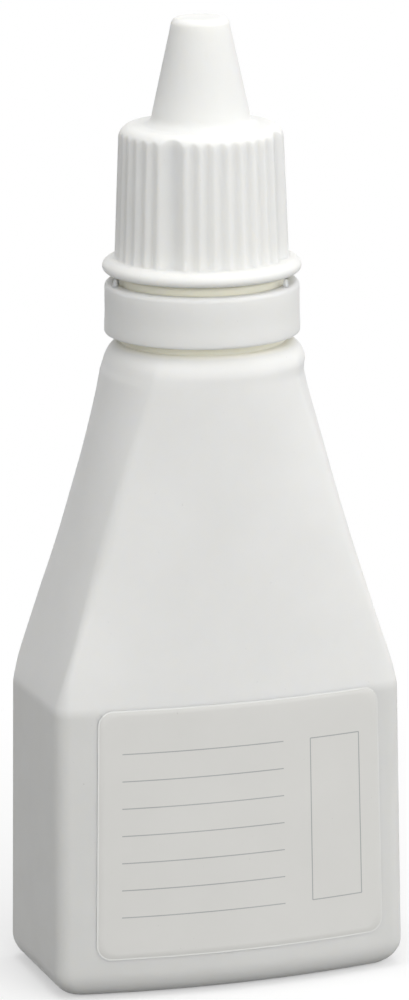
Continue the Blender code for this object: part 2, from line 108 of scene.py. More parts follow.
RING_TURN = math.radians(-111)
BRIDGE_HALF_SPREAD = math.radians(67.5)
LABEL_BOTTOM = 5.0 * MM
LABEL_TOP = 35.6 * MM
LABEL_WIDTH = 36.3 * MM
LABEL_TOP_WIDTH = 35.1 * MM
LABEL_SHIFT = 0.7 * MM
LABEL_CORNER = 1.8 * MM

# Roundings of profile corners, and the most that one takes of an edge
MOST_EDGE_SHARE = 0.48
CRISP = 0.1 * MM
TIGHT = 0.15 * MM
SLIGHT = 0.2 * MM
MILD = 0.25 * MM
SOFT = 0.3 * MM
BROAD = 0.4 * MM
FULL = 0.5 * MM

# Fineness of the meshes
SIDE_STEPS = 13
CORNER_STEPS = 11
FACE_STEPS = 18
ROUND_COLUMNS = 192
PITCHES = 36
SCALLOPS = 4
SCALLOP_PITCHES = 2
PITCH_COLUMNS = 12
SHARP_ANGLE = math.radians(50)
WELD_DISTANCE = 1e-7


def blend(first, last, share):
    return first + (last - first) * share


def spread(first, last, steps):
    return [blend(first, last, step / steps) for step in range(steps + 1)]


def smoothstep(low, high, value):
    share = min(max((value - low) / (high - low), 0), 1)
    return share * share * (3 - 2 * share)


# Mesh helpers


def polar(radius, angle, height):
    return Vector((radius * math.cos(angle), radius * math.sin(angle), height))


def ring_of(radius, height, columns=ROUND_COLUMNS):
    return [polar(radius, math.tau * column / columns, height) for column in range(columns)]


def join_rows(mesh, first, second):
    """Joins two closed rows of equal count, or one of a whole multiple of the other's count."""
    if len(first) < len(second):
        first, second = second, first
    finer = len(first) // len(second)
    for index in range(len(second)):
        following = (index + 1) % len(second)
        fine = [first[(index * finer + step) % len(first)] for step in range(finer + 1)]
        mesh.faces.new(fine + [second[following], second[index]])


def shell_mesh(loops, closed=False):
    """A mesh through a list of closed loops. It ends in a fan at each end, or meets itself."""
    mesh = bmesh.new()
    rows = [[mesh.verts.new(point) for point in loop] for loop in loops]
    for first, second in zip(rows, rows[1:]):
        join_rows(mesh, first, second)
    if closed:
        join_rows(mesh, rows[-1], rows[0])
    else:
        for row in (rows[0], rows[-1]):
            centre = Vector((0, 0, 0))
            for vertex in row:
                centre += vertex.co / len(row)
            hub = mesh.verts.new(centre)
            for index, vertex in enumerate(row):
                mesh.faces.new((vertex, row[(index + 1) % len(row)], hub))
    return mesh


def rounded(profile, steps=5):
    """Points of a profile of (radius, height, rounding) corners, each corner drawn as an arc."""
    points = []
    count = len(profile)
    for index, (radius, height, rounding) in enumerate(profile):
        here = Vector((radius, height))
        if rounding == 0 or index in (0, count - 1):
            points.append(here)
            continue
        before = Vector(profile[index - 1][:2]) - here
        after = Vector(profile[index + 1][:2]) - here
        reach = min(rounding, before.length * MOST_EDGE_SHARE, after.length * MOST_EDGE_SHARE)
        start = here + before.normalized() * reach
        end = here + after.normalized() * reach
        for share in spread(0, 1, steps):
            points.append(start.lerp(here, share).lerp(here.lerp(end, share), share))
    return [(point.x, point.y) for point in points]


def finish_piece(name, mesh, material, body, slot, *nodes):
    """Makes a scene object of a mesh, and says what it rides on and stands for."""
    bmesh.ops.remove_doubles(mesh, verts=mesh.verts, dist=WELD_DISTANCE)
    bmesh.ops.recalc_face_normals(mesh, faces=mesh.faces)
    data = bpy.data.meshes.new(name)
    mesh.to_mesh(data)
    mesh.free()
    data.shade_smooth()
    data.set_sharp_from_angle(angle=SHARP_ANGLE)
    data.materials.append(material)
    piece = bpy.data.objects.new(name, data)
    bpy.context.scene.collection.objects.link(piece)
    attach(piece, body)
    if nodes:
        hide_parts(*nodes)
    return piece


# Materials


class Shader:
    """Short calls for building a Principled material out of nodes."""

    def __init__(self, name):
        self.material = bpy.data.materials.new(name)
        self.material.use_nodes = True
        self.tree = self.material.node_tree
        self.principled = self.tree.nodes["Principled BSDF"]
        self.place = self.node("ShaderNodeTexCoord").outputs["Object"]

    def node(self, kind, **settings):
        node = self.tree.nodes.new(kind)
        for key, value in settings.items():
            setattr(node, key, value)
        return node

    def link(self, output, socket):
        self.tree.links.new(output, socket)

    def noise(self, scale, detail, roughness):
        texture = self.node("ShaderNodeTexNoise")
        texture.inputs["Scale"].default_value = scale
        texture.inputs["Detail"].default_value = detail
        texture.inputs["Roughness"].default_value = roughness
        self.link(self.place, texture.inputs["Vector"])
        return texture.outputs["Fac"]

    def remap(self, value, low, high, first=0.3, last=0.7):
        """Carries a value from the range first to last over to the range low to high."""
        ranged = self.node("ShaderNodeMapRange")
        limits = {"From Min": first, "From Max": last, "To Min": low, "To Max": high}
        for socket, number in limits.items():
            ranged.inputs[socket].default_value = number
        self.link(value, ranged.inputs["Value"])
        return ranged.outputs["Result"]

    def colours(self, value, *stops):
        ramp = self.node("ShaderNodeValToRGB")
        elements = ramp.color_ramp.elements
        while len(elements) < len(stops):
            elements.new(0.5)
        for element, (position, colour) in zip(elements, stops):
            element.position = position
            element.color = (*colour, 1)
        self.link(value, ramp.inputs["Fac"])
        return ramp.outputs["Color"]

    def mix(self, factor, first, second):
        mixed = self.node("ShaderNodeMix", data_type="RGBA")
        self.link(factor, mixed.inputs["Factor"])
        for socket, colour in ((mixed.inputs[6], first), (mixed.inputs[7], second)):
            if isinstance(colour, tuple):
                socket.default_value = (*colour, 1)
            else:
                self.link(colour, socket)
        return mixed.outputs[2]

    def times(self, colour, factors):
        product = self.node("ShaderNodeMix", data_type="RGBA", blend_type="MULTIPLY")
        product.inputs["Factor"].default_value = 1
        self.link(colour, product.inputs[6])
        product.inputs[7].default_value = (*factors, 1)
        return product.outputs[2]

    def height(self):
        split = self.node("ShaderNodeSeparateXYZ")
        self.link(self.place, split.inputs["Vector"])
        return split.outputs["Z"]

    def bump(self, *layers):
        """Stacks bump layers, each a (value, depth in metres) pair."""
        normal = None
        for value, depth in layers:
            bump = self.node("ShaderNodeBump")
            bump.inputs["Distance"].default_value = depth
            self.link(value, bump.inputs["Height"])
            if normal:
                self.link(normal, bump.inputs["Normal"])
            normal = bump.outputs["Normal"]
        self.link(normal, self.principled.inputs["Normal"])


# Noises of the plastics, each as (scale, detail, roughness)
MOTTLE = (90, 4, 0.55)
SPECKS = (2600, 2, 0.6)
GLOSS = (260, 4, 0.6)
GRAIN = (5200, 2, 0.6)
WAVE = (140, 2, 0.5)

MOTTLE_START = 0.30
MOTTLE_END = 0.70
SPECK_START = 0.74
SPECK_END = 0.80
SPECK_TONE = 0.82
SMOOTHER = 0.05
ROUGHER = 0.06
WAVE_DEPTH = 0.00006
GRAIN_DEPTH = 0.000006
SHADE_STEP_SOFTNESS = 0.6 * MM
PLASTIC_IOR = 1.49
PLASTIC_SHEEN = 0.14
GLOW_REACH = (1.0, 0.96, 0.88)


def moulded(name, colour, shade, roughness, glow_depth=0, painted_lower_shade=None, neck=None):
    """Polyolefin, moulded or as film: soft mottle, dust, uneven gloss, fine grain, slow waves.

    The body is darkened below the crease as painted shade, and the neck above the shoulder is
    brightened and warmed as a painted glow, standing for light let into the gaps around the neck.
    """
    shader = Shader(name)
    mottle = shader.noise(*MOTTLE)
    base = shader.colours(mottle, (MOTTLE_START, shade), (MOTTLE_END, colour))
    dust = shader.remap(shader.noise(*SPECKS), 0, 1, SPECK_START, SPECK_END)
    base = shader.mix(dust, base, tuple(part * SPECK_TONE for part in colour))
    if neck:
        # Painted glow: above the shoulder the neck is made brighter and warmer, for light in its gaps
        low, high, glow_factors = neck
        shoulder = shader.remap(shader.height(), 0, 1, low, high)
        base = shader.mix(shoulder, base, shader.times(base, glow_factors))
    # Painted shade: below the crease the body is made darker, with a soft step at the crease
    if painted_lower_shade:
        lower = CREASE_HEIGHT - SHADE_STEP_SOFTNESS
        upper = CREASE_HEIGHT + SHADE_STEP_SOFTNESS
        level = shader.remap(shader.height(), 0, 1, lower, upper)
        base = shader.mix(level, shader.times(base, painted_lower_shade), base)
    settings = shader.principled.inputs
    shader.link(base, settings["Base Color"])
    gloss = shader.remap(shader.noise(*GLOSS), roughness - SMOOTHER, roughness + ROUGHER)
    shader.link(gloss, settings["Roughness"])
    grain = shader.noise(*GRAIN)
    wave = shader.noise(*WAVE)
    shader.bump((wave, WAVE_DEPTH), (grain, GRAIN_DEPTH))
    settings["IOR"].default_value = PLASTIC_IOR
    settings["Specular IOR Level"].default_value = PLASTIC_SHEEN
    settings["Subsurface Weight"].default_value = 1 if glow_depth else 0
    settings["Subsurface Radius"].default_value = GLOW_REACH
    settings["Subsurface Scale"].default_value = glow_depth
    return shader.material


# Painted shade below the crease, and the heights between which the neck's painted glow comes in
LOWER_PAINTED_SHADE = (0.875, 0.875, 0.87)
NECK_PAINTED_GLOW = (76.9 * MM, 77.6 * MM, (1.14, 1.11, 0.96))

bottle_plastic = moulded(
    "bottle_plastic",
    colour=(0.80, 0.80, 0.785),
    shade=(0.77, 0.77, 0.755),
    roughness=0.43,
    glow_depth=0.8 * MM,
    painted_lower_shade=LOWER_PAINTED_SHADE,
    neck=NECK_PAINTED_GLOW,
)
cap_plastic = moulded(
    "cap_plastic",
    colour=(0.80, 0.80, 0.78),
    shade=(0.775, 0.775, 0.755),
    roughness=0.50,
    glow_depth=1.3 * MM,
)
ring_plastic = moulded(
    "ring_plastic",
    colour=(0.79, 0.79, 0.77),
    shade=(0.765, 0.765, 0.745),
    roughness=0.46,
    glow_depth=2.0 * MM,
)
insert_plastic = moulded(
    "insert_plastic",
    colour=(0.78, 0.77, 0.72),
    shade=(0.75, 0.74, 0.69),
    roughness=0.34,
    glow_depth=1.5 * MM,
)
label_film = moulded(
    "label_film", colour=(0.685, 0.68, 0.655), shade=(0.665, 0.66, 0.635), roughness=0.46
)
# Painted highlight: the top cut edge is much paler than the film, where light from above catches it
label_top_highlight = moulded(
    "label_top_highlight", colour=(0.86, 0.86, 0.84), shade=(0.83, 0.83, 0.81), roughness=0.46
)
# Painted highlight, fainter: the cut edge along the sides and foot is paler than the film
label_side_edge_highlight = moulded(
    "label_side_edge_highlight", colour=(0.76, 0.76, 0.74), shade=(0.73, 0.73, 0.71), roughness=0.46
)
label_ink = moulded(
    "label_ink", colour=(0.42, 0.43, 0.43), shade=(0.36, 0.37, 0.37), roughness=0.5
)


# Bottle


def soft_ramp(value, softness):
    """Zero below, rising one for one above, with a soft corner between."""
    if value <= -softness:
        return 0
    if value >= softness:
        return value
    return (value + softness) ** 2 / (4 * softness)


CREASE_SOFTNESS = 0.6 * MM
EASE_START = 73.5 * MM
EASE_SPAN = 0.6 * MM
TAPER_SLOPE = (BODY_WIDTH - SHOULDER_WIDTH) / 2 / (SHOULDER_HEIGHT - CREASE_HEIGHT)

# How far the straight edges stand in, and the shares of the climb over which that grows
EDGE_SLACK = 0.5 * MM
EDGE_SLACK_END = 0.3
EDGE_SLACK_GROWTH = 1.0 * MM
EDGE_GROWTH_SPAN = 0.65
EDGE_SLACK_AT_TOP = 0.4 * MM
TOP_SLACK_START = 0.75

# How the -X side differs from the +X side, and how far the shoulder leans and bulges to +X
LEFT_SLACK = 0.2 * MM
LEFT_SLACK_START = 0.2
LEFT_SLACK_END = 0.5
LEFT_FULLNESS = 0.35 * MM
FULLNESS_START = 63.0 * MM
SHOULDER_LEAN = 0.3 * MM
SHOULDER_BULGE = 0.25 * MM


def climb_at(height):
    """Share of the way up the taper, easing out to upright walls under the rim."""
    if height > EASE_START:
        share = min((height - EASE_START) / EASE_SPAN, 1)
        height = EASE_START + (share - share**2 / 2) * EASE_SPAN
    return soft_ramp(height - CREASE_HEIGHT, CREASE_SOFTNESS) / (SHOULDER_HEIGHT - CREASE_HEIGHT)


def edge_slack_at(climb):
    """How far the straight edges stand in from the body's half width."""
    growth = min(max((climb - EDGE_SLACK_END) / EDGE_GROWTH_SPAN, 0), 1)
    slack = EDGE_SLACK * smoothstep(0, EDGE_SLACK_END, climb) + EDGE_SLACK_GROWTH * growth
    return slack + EDGE_SLACK_AT_TOP * smoothstep(TOP_SLACK_START, 1, climb)


def left_share_at(height, half_width):
    """The -X side's half width as a share of the +X side's.

    It is a little less up the taper, and its slope runs on into the shoulder.
    """
    climb = climb_at(height)
    narrow = LEFT_SLACK * smoothstep(LEFT_SLACK_START, LEFT_SLACK_END, climb)
    if height < FULLNESS_START:
        return 1 - narrow / half_width
    tapered = SHOULDER_WIDTH / 2 + (SHOULDER_HEIGHT - height) * TAPER_SLOPE - edge_slack_at(climb)
    tapered += LEFT_FULLNESS * smoothstep(FULLNESS_START, RIM_HEIGHT, height)
    return (tapered - narrow) / half_width


def flare_at(height):
    return BASE_FLARE * soft_ramp(CREASE_HEIGHT - height, CREASE_SOFTNESS) / CREASE_HEIGHT


def half_depth_at(height):
    return blend(BODY_DEPTH, SHOULDER_DEPTH, climb_at(height)) / 2 + flare_at(height)


TOP_EDGE_DEPTH = 6.9 * MM
TAPER_CORNER = 1.3 * MM
TAPER_CORNER_AT = 0.1
TOP_CORNER = 3.0 * MM
TOP_CORNER_START = 0.2
TOP_CORNER_END = 0.5
SIDE_BULGE = 2.4 * MM
SIDE_BULGE_POWER = 0.9
LEAST_SIDE_TURN = math.radians(0.2)


def edge_depth_at(height):
    """How far the edge between side and face stands from the middle plane, on a straight line."""
    lower = BODY_DEPTH / 2 - BOW_RADIUS + math.sqrt(BOW_RADIUS**2 - BODY_WIDTH**2 / 4)
    return blend(lower, TOP_EDGE_DEPTH, climb_at(height)) + flare_at(height)


def bow_radius_at(height):
    """The front and back bow more towards the shoulder, so that their edges stay straight."""
    half_width = blend(BODY_WIDTH, SHOULDER_WIDTH, climb_at(height)) / 2
    sagitta = half_depth_at(height) - edge_depth_at(height)
    return (half_width**2 + sagitta**2) / (2 * sagitta)


def corner_at(height):
    """Radius of the tight edge between face and side."""
    climb = climb_at(height)
    corner = blend(BODY_CORNER, TAPER_CORNER, smoothstep(0, TAPER_CORNER_AT, climb))
    corner = blend(corner, TOP_CORNER, smoothstep(TOP_CORNER_START, TOP_CORNER_END, climb))
    return corner + BASE_CORNER_GROWTH * max(1 - height / BASE_FILLET, 0) ** 2


def side_turn_at(height):
    """How far the side has turned from its middle to its edge."""
    bulge = SIDE_BULGE * climb_at(height) ** SIDE_BULGE_POWER
    return LEAST_SIDE_TURN + 2 * math.atan(bulge / edge_depth_at(height))


def arc(centre_x, centre_y, radius, first, last, steps):
    """Points of an arc in plan."""
    return [
        (centre_x + radius * math.cos(angle), centre_y + radius * math.sin(angle))
        for angle in spread(first, last, steps)
    ]


def section(height, inset=0.0, level=None):
    """Closed outline of the body at a height, moved in by an inset and drawn at a level.

    Each quarter is a bowed side, a tight corner and a bowed face, tangent to each other. The
    corner's centre, at spot, is as far from the middle of each bow as a touching arc's has to be.
    """
    climb = climb_at(height)
    rim = SHOULDER_RIM * smoothstep(EASE_START, RIM_HEIGHT, height)
    half_width = blend(BODY_WIDTH, SHOULDER_WIDTH, climb) / 2 + flare_at(height) + rim - inset
    half_width -= edge_slack_at(climb)
    left = left_share_at(height, half_width + inset)
    half_depth = half_depth_at(height) - inset
    bow = bow_radius_at(height)
    corner = max(corner_at(height) - inset, LEAST_CORNER)
    turn = side_turn_at(height)
    edge_depth = half_depth - bow + math.sqrt(bow**2 - half_width**2)
    side = edge_depth / math.sin(turn)
    half_width += edge_depth * (math.tan(turn / 2) - math.tan(LEAST_SIDE_TURN / 2))
    side_centre = Vector((half_width - side, 0))
    to_face = Vector((0, half_depth - bow)) - side_centre
    along = ((side - corner) ** 2 - (bow - corner) ** 2 + to_face.length_squared) / (2 * to_face.length)
    aside = math.sqrt((side - corner) ** 2 - along**2)
    across = to_face.normalized()
    spot = side_centre + across * along + Vector((-across.y, across.x)) * aside
    leaving = math.atan2(spot.y, spot.x - side_centre.x)
    meeting = math.atan2(spot.y - half_depth + bow, spot.x)
    quarter = arc(side_centre.x, 0, side, 0, leaving, SIDE_STEPS)[:-1]
    quarter += arc(spot.x, spot.y, corner, leaving, meeting, CORNER_STEPS)[:-1]
    quarter += arc(0, half_depth - bow, bow, meeting, QUARTER, FACE_STEPS)
    half = quarter + [(-x * left, y) for x, y in reversed(quarter[:-1])]
    outline = half + [(x, -y) for x, y in reversed(half[1:-1])]
    level = height if level is None else level
    return [Vector((x, y, level)) for x, y in outline]


# Least run of the shoulder's roll, and insets of the loops in the base's recess
LEAST_REACH = 0.3 * MM
RECESS_INSETS = [inset * MM for inset in (11.4, 10.2, 9.0, 7.6, 6.2)]


def circle_under(outline, radius, height, shift=0.0):
    """A circle whose columns stand at the angles of an outline's points."""
    circle = []
    for point in outline:
        flat = Vector((point.x, point.y, 0)).normalized() * radius
        circle.append(Vector((flat.x + shift, flat.y, height)))
    return circle


def roll_to_circle(outline, radius, foot, rise, turn, steps, shift=0.0):
    """Loops that roll from a body outline up to a circle.

    Where the circle is shifted, the -X side rolls on from the taper's slope, and the +X side
    bulges a little.
    """
    loops = []
    top = circle_under(outline, radius, foot + rise, shift)
    swings = []
    for start, end in zip(outline, top):
        facing = max(SHOULDER_CORNER - SHOULDER_WIDTH / 2 - start.x, 0) / SHOULDER_CORNER
        slope = TAPER_SLOPE * min(facing, 1) * rise * turn / math.sin(turn)
        swings.append(slope / max((end.xy - start.xy).length, LEAST_REACH) if shift else 0)
    for share in spread(0, 1, steps)[1:]:
        angle = turn * share
        reach = (math.cos(angle) - math.cos(turn)) / (1 - math.cos(turn))
        height = foot + rise * math.sin(angle) / math.sin(turn)
        loop = []
        for start, end, swing in zip(outline, top, swings):
            near = reach - swing * share * (1 - share) ** 2
            spot = end.lerp(start, near)
            if shift:
                facing = smoothstep(SHOULDER_WIDTH / 2 - SHOULDER_CORNER, SHOULDER_WIDTH / 2, start.x)
                spot.x += SHOULDER_BULGE * facing * 4 * share * (1 - share)
            loop.append(Vector((*spot.xy, height)))
        loops.append(loop)
    return loops


def base_loops():
    """Underside, from the middle of its recess out to the upright walls."""
    band = BASE_FILLET + BASE_BAND_WIDTH
    recess = band + BASE_RECESS_SLOPE
    loops = [section(0, inset, BASE_RECESS_DEPTH) for inset in RECESS_INSETS]
    for share in spread(0, 1, 8):
        height = BASE_RECESS_DEPTH * (1 - smoothstep(0, 1, share))
        loops.append(section(0, blend(recess, band, share), height))
    for angle in spread(0, QUARTER, 12):
        inset = BASE_FILLET * (1 - math.sin(angle))
        loops.append(section(BASE_FILLET * (1 - math.cos(angle)), inset))
    return loops


WALL_START = BASE_FILLET + 1.2 * MM
WALL_END = CREASE_HEIGHT - 1.5 * MM
CREASE_REACH = 0.9 * MM
CREASE_STEPS = [step * MM for step in (1.4, 2.1, 3.0, 4.2)]
TAPER_START = CREASE_HEIGHT + 5.6 * MM
TAPER_END = EASE_START - 0.6 * MM


def wall_heights():
    """Heights of the loops between base and rim, closest together around the crease."""
    heights = spread(WALL_START, WALL_END, 18)
    heights += spread(CREASE_HEIGHT - CREASE_REACH, CREASE_HEIGHT + CREASE_REACH, 9)
    heights += [CREASE_HEIGHT + step for step in CREASE_STEPS]
    heights += spread(TAPER_START, TAPER_END, 22)
    return heights + spread(EASE_START, RIM_HEIGHT, 7)


BEAD_FOOT = 81.5 * MM
BEAD_TOP = BEAD_FOOT + 3.8 * MM
BEAD_ROUNDING = 0.18 * MM
NECK_LEDGE_RADIUS = 10.2 * MM
NECK_LEDGE = NECK_FOOT + 0.04 * MM
FOOT_BOTTOM = NECK_FOOT + 0.05 * MM
FOOT_TOP = NECK_FOOT + 1.7 * MM
WAIST_FOOT = NECK_FOOT + 2.3 * MM
UPPER_WAIST_FOOT = BEAD_FOOT + 4.2 * MM
UPPER_WAIST_TOP = BEAD_FOOT + 5.2 * MM
THREADED_FOOT = BEAD_FOOT + 6.0 * MM
BORE_START = LIP_HEIGHT - 8 * MM


def neck_profile():
    """The neck from its ledge on the shoulder, over its foot, bead and lip, into its bore."""
    return rounded(
        [
            (SHOULDER_TOP_RADIUS, NECK_FOOT, 0),
            (NECK_LEDGE_RADIUS, NECK_LEDGE, CRISP),
            (FOOT_RADIUS, FOOT_BOTTOM, MILD),
            (FOOT_RADIUS, FOOT_TOP, SOFT),
            (WAIST_RADIUS, WAIST_FOOT, SOFT),
            (WAIST_RADIUS, BEAD_FOOT, MILD),
            (BEAD_RADIUS, BEAD_FOOT, BEAD_ROUNDING),
            (BEAD_RADIUS, BEAD_TOP, SOFT),
            (UPPER_WAIST_RADIUS, UPPER_WAIST_FOOT, SOFT),
            (UPPER_WAIST_RADIUS, UPPER_WAIST_TOP, SOFT),
            (NECK_RADIUS, THREADED_FOOT, SOFT),
            (NECK_RADIUS, LIP_HEIGHT, BROAD),
            (BORE_RADIUS, LIP_HEIGHT, BROAD),
            (BORE_RADIUS, BORE_START, 0),
        ]
    )


INSIDE_TAPER_TOP = EASE_START - 2 * MM
INSIDE_TAPER_FOOT = CREASE_HEIGHT + MM
INSIDE_WALL_TOP = CREASE_HEIGHT - MM


def inside_loops():
    """The bottle's inside, from the foot of the bore down to its floor."""
    top = SHOULDER_HEIGHT - BODY_WALL
    rise = NECK_FOOT - BODY_WALL - top
    loops = roll_to_circle(section(top, BODY_WALL), BORE_RADIUS, top, rise, QUARTER, 6)[::-1]
    heights = [top, *spread(INSIDE_TAPER_TOP, INSIDE_TAPER_FOOT, 8), CREASE_HEIGHT, INSIDE_WALL_TOP]
    loops += [section(height, BODY_WALL) for height in heights]
    floor = BASE_RECESS_DEPTH + BODY_WALL
    radius = BASE_FILLET - BODY_WALL
    for angle in spread(QUARTER, 0, 6):
        inset = BODY_WALL + radius * (1 - math.sin(angle))
        loops.append(section(floor + radius * (1 - math.cos(angle)), inset))
    return loops


def make_bottle():
    """The bottle as one closed shell: up its outside, over the lip, and down its inside."""
    loops = base_loops() + [section(height) for height in wall_heights()]
    rim = loops[-1]
    loops += roll_to_circle(
        rim, SHOULDER_TOP_RADIUS, RIM_HEIGHT, ROLL_HEIGHT, ROLL_TURN, 14, SHOULDER_LEAN
    )
    loops += [circle_under(rim, radius, height) for radius, height in neck_profile()[1:]]
    return shell_mesh(loops + inside_loops())


finish_piece("bottle_shell", make_bottle(), bottle_plastic, "bottle", "bottle_white", "bottle_body")


# Screw threads

THREAD_LEAD = 3.0 * MM
THREAD_BASE = 1.2 * MM
THREAD_CREST = 0.5 * MM
THREAD_SUNK = 0.12 * MM
THREAD_STEPS = 180
THREAD_START = math.radians(-150)

# The thread's flank meets its crest in a shoulder: its share of the height, and both half widths
THREAD_SHOULDER_SHARE = 0.9
SHOULDER_WIDTH_SHARE = 1.25
CREST_WIDTH_SHARE = 0.7

NECK_THREAD_FOOT = 91.0 * MM
NECK_THREAD_TURNS = 1.6
CAP_THREAD_ROOT = CAP_INNER + 0.02 * MM
CAP_THREAD_CREST = 8.0 * MM
CAP_THREAD_FOOT = 89.55 * MM
CAP_THREAD_TURNS = 2.0

# A thread runs out over a share of its length, to shares of its height and width
RUN_OUT_SHARE = 0.09
RUN_OUT_HEIGHT_SHARE = 0.04
RUN_OUT_WIDTH_SHARE = 0.35


def make_thread(root, crest, foot, turns):
    """A helical ridge from its root radius to its crest, running out at both ends."""
    mesh = bmesh.new()
    rows = []
    sunk = root + math.copysign(THREAD_SUNK, root - crest)
    for share in spread(0, 1, THREAD_STEPS):
        angle = THREAD_START + math.tau * turns * share
        height = foot + THREAD_LEAD * turns * share
        fullness = smoothstep(0, RUN_OUT_SHARE, share) * smoothstep(0, RUN_OUT_SHARE, 1 - share)
        top = blend(root, crest, blend(RUN_OUT_HEIGHT_SHARE, 1, fullness))
        width = blend(RUN_OUT_WIDTH_SHARE, 1, fullness)
        base = THREAD_BASE * width / 2
        flat = THREAD_CREST * width / 2
        shoulder = (blend(root, top, THREAD_SHOULDER_SHARE), -flat * SHOULDER_WIDTH_SHARE)
        outline = [(sunk, -base), (root, -base), shoulder, (top, -flat * CREST_WIDTH_SHARE)]
        outline += [(r, -z) for r, z in outline[::-1]]
        rows.append([mesh.verts.new(polar(r, angle, height + z)) for r, z in outline])
    for first, second in zip(rows, rows[1:]):
        join_rows(mesh, first, second)
    mesh.faces.new(rows[0])
    mesh.faces.new(rows[-1])
    return mesh


finish_piece(
    "neck_thread",
    make_thread(NECK_RADIUS, UPPER_WAIST_RADIUS, NECK_THREAD_FOOT, NECK_THREAD_TURNS),
    bottle_plastic,
    "bottle",
    "bottle_white",
)
finish_piece(
    "cap_thread",
    make_thread(CAP_THREAD_ROOT, CAP_THREAD_CREST, CAP_THREAD_FOOT, CAP_THREAD_TURNS),
    cap_plastic,
    "cap",
    "cap_white",
)


# Dropper insert


def nozzle_radius_at(height):
    return NOZZLE_TIP_RADIUS + (NOZZLE_TIP - height) * NOZZLE_SLOPE


def make_insert():
    """The pressed-in plug: its sleeve in the bore, its flange on the lip, and its nozzle."""
    seat = 100.8 * MM
    top = 101.8 * MM
    flange = 7.3 * MM
    flange_rounding = 0.12 * MM
    wall = 1.0 * MM
    sleeve = 6.1 * MM
    sleeve_inside = 5.3 * MM
    foot = seat - 6.2 * MM
    orifice = 0.85 * MM
    orifice_foot = NOZZLE_TIP - 2.0 * MM
    profile = [
        (sleeve_inside, foot, 0),
        (sleeve, foot, SOFT),
        (sleeve, seat, CRISP),
        (flange, seat, flange_rounding),
        (flange, top, SOFT),
        (nozzle_radius_at(top), top, BROAD),
        (NOZZLE_TIP_RADIUS, NOZZLE_TIP, BROAD),
        (orifice, NOZZLE_TIP, TIGHT),
        (orifice, orifice_foot, CRISP),
        (nozzle_radius_at(orifice_foot) - wall, orifice_foot - wall, SOFT),
        (nozzle_radius_at(seat) - wall, seat, SLIGHT),
        (sleeve_inside, seat, CRISP),
        (sleeve_inside, foot, 0),
    ]
    return shell_mesh([ring_of(r, z, 128) for r, z in rounded(profile)[:-1]], closed=True)


finish_piece("insert", make_insert(), insert_plastic, "bottle", "insert_natural", "dropper_insert")


# Tamper ring


def make_ring():
    """The loose ring, with the hook inside it that catches under the neck's bead."""
    flared = RING_RADIUS + 0.08 * MM
    flare_foot = RING_BOTTOM + 0.9 * MM
    flare_top = RING_BOTTOM + 2.4 * MM
    top_rounding = 0.85 * MM
    hook = 9.2 * MM
    hook_top = 81.2 * MM
    hook_foot = hook_top - 0.7 * MM
    slope_foot = hook_top - 1.7 * MM
    profile = [
        (RING_INNER, RING_BOTTOM, 0),
        (flared, RING_BOTTOM, BROAD),
        (flared, flare_foot, FULL),
        (RING_RADIUS, flare_top, FULL),
        (RING_RADIUS, RING_TOP, top_rounding),
        (RING_INNER, RING_TOP, TIGHT),
        (RING_INNER, hook_top, TIGHT),
        (hook, hook_top, SLIGHT),
        (hook, hook_foot, SLIGHT),
        (RING_INNER, slope_foot, SOFT),
        (RING_INNER, RING_BOTTOM, 0),
    ]
    return shell_mesh([ring_of(r, z) for r, z in rounded(profile, 7)[:-1]], closed=True)


BRIDGES = 4
BRIDGE_WIDTH = 0.9 * MM
BRIDGE_DEPTH = 0.6 * MM
BRIDGE_TIP = 0.4 * MM
BRIDGE_SINK = 0.3 * MM
BRIDGE_FLARE = 0.25 * MM
BRIDGE_FLARE_END = 0.45
BRIDGE_SIDES = 16
BRIDGE_SQUARENESS = 0.6


def squarish(share):
    """Bends the circle of a sine and a cosine towards a square."""
    return math.copysign(abs(share) ** BRIDGE_SQUARENESS, share)


def make_bridge(turn):
    """One of the thin bridges between ring and cap: a small post, narrower at its snapping end."""
    middle = (RING_INNER + RING_RADIUS) / 2
    foot = RING_TOP - BRIDGE_SINK
    top = CAP_BOTTOM - BRIDGE_SINK
    loops = []
    for share in spread(0, 1, 8):
        flare = BRIDGE_FLARE * max(1 - share / BRIDGE_FLARE_END, 0) ** 2
        width = blend(BRIDGE_WIDTH, BRIDGE_TIP, share) / 2 + flare
        depth = blend(BRIDGE_DEPTH, BRIDGE_TIP, share) / 2 + flare / 2
        loop = []
        for step in range(BRIDGE_SIDES):
            angle = math.tau * step / BRIDGE_SIDES
            across = width * squarish(math.cos(angle))
            outward = depth * squarish(math.sin(angle))
            spot = Vector((middle + outward, across, 0))
            spot.rotate(Matrix.Rotation(turn, 3, "Z"))
            loop.append(Vector((spot.x, spot.y, blend(foot, top, share))))
        loops.append(loop)
    return shell_mesh(loops)


finish_piece("ring", make_ring(), ring_plastic, "ring", "ring_white", "tamper_evident_ring")
for index in range(BRIDGES):
    side = 1 if index % 2 else -1
    turn = RING_TURN + math.pi * (index // 2) + side * BRIDGE_HALF_SPREAD
    finish_piece(f"ring_bridge_{index + 1}", make_bridge(turn), ring_plastic, "ring", "ring_white")


# Screw cap

FLUTE_FULLNESS = 0.7
FLUTE_SOFTNESS = 0.10 * MM
FLUTE_FOOT = FLANGE_TOP + 0.3 * MM
NOSE_TIP_SHARES = (0.25, 0.6)
NOSE_TIP_END = math.radians(12)
NOSE_START_GAP = 0.6 * MM
NOSE_END_GAP = 0.4 * MM
FLANGE_START = math.radians(78)
COUNTERBORE_STEP = 0.4 * MM
COUNTERBORE_TOP = CAP_BOTTOM + 1.9 * MM
PIN_RADIUS = 0.55 * MM
PIN_TIP = NOZZLE_TIP - 0.8 * MM
PIN_TIP_RADIUS = 0.1 * MM

# The fillet between flutes and flange, as pairs of height and width in millimetres
FLUTE_FILLET = ((0.18, 0.02), (0.09, 0.07), (0.04, 0.14))


